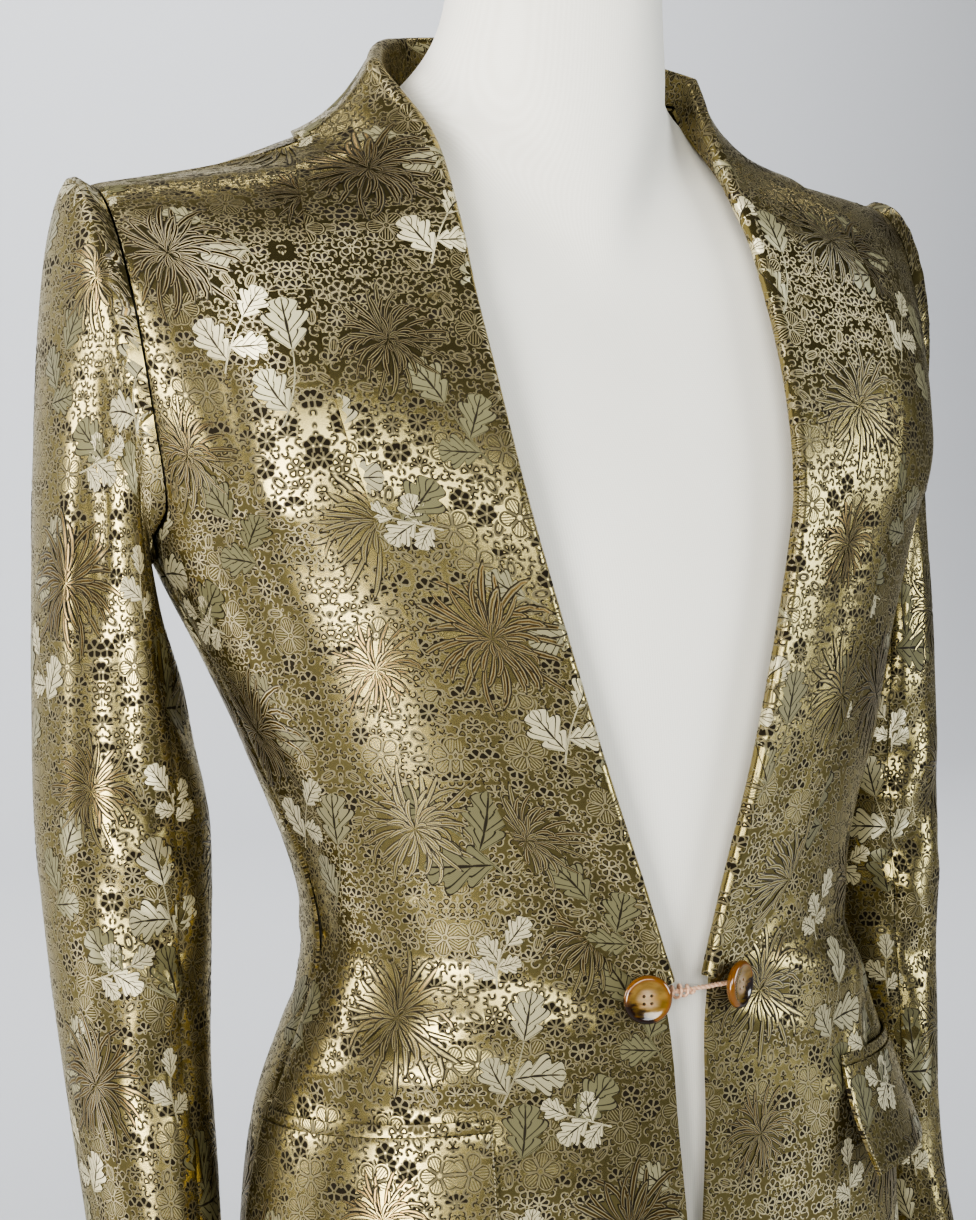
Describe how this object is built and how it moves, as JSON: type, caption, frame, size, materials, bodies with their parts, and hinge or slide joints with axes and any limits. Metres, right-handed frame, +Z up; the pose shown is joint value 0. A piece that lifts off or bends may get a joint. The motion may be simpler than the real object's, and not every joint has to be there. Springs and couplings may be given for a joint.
{
  "type": "day coat on dress form",
  "caption": "Fitted day coat in figured brocade with a shawl collar, flap pockets and a link-buttoned waist, shown on a limbless dress form with a pole and a round base.",
  "frame": {"origin": "on the floor under the middle of the round base", "axes": "+Z up, the coat's front faces -Y, +X is the wearer's left"},
  "size_m": [0.5442, 0.34, 0.999],
  "materials": {
    "coat_cloth": "satin",
    "button_horn": "polished",
    "link_thread": "matt",
    "form_cover": "matt",
    "form_wood": "varnished",
    "form_steel": "satin"
  },
  "bodies": {
    "root": {"front_left": "coat_cloth", "front_right": "coat_cloth", "back_left": "coat_cloth", "back_right": "coat_cloth", "sleeve_top_left": "coat_cloth", "sleeve_top_right": "coat_cloth", "sleeve_under_left": "coat_cloth", "sleeve_under_right": "coat_cloth", "collar_left": "coat_cloth", "collar_right": "coat_cloth", "jetting_left": "coat_cloth", "jetting_right": "coat_cloth", "flap_left": "coat_cloth", "flap_right": "coat_cloth", "button_left": "button_horn", "button_right": "button_horn", "button_link": "link_thread", "form_torso": "form_cover", "form_neck_cap": "form_wood", "form_pole": "form_steel", "form_base": "form_wood"}
  },
  "joints": []
}
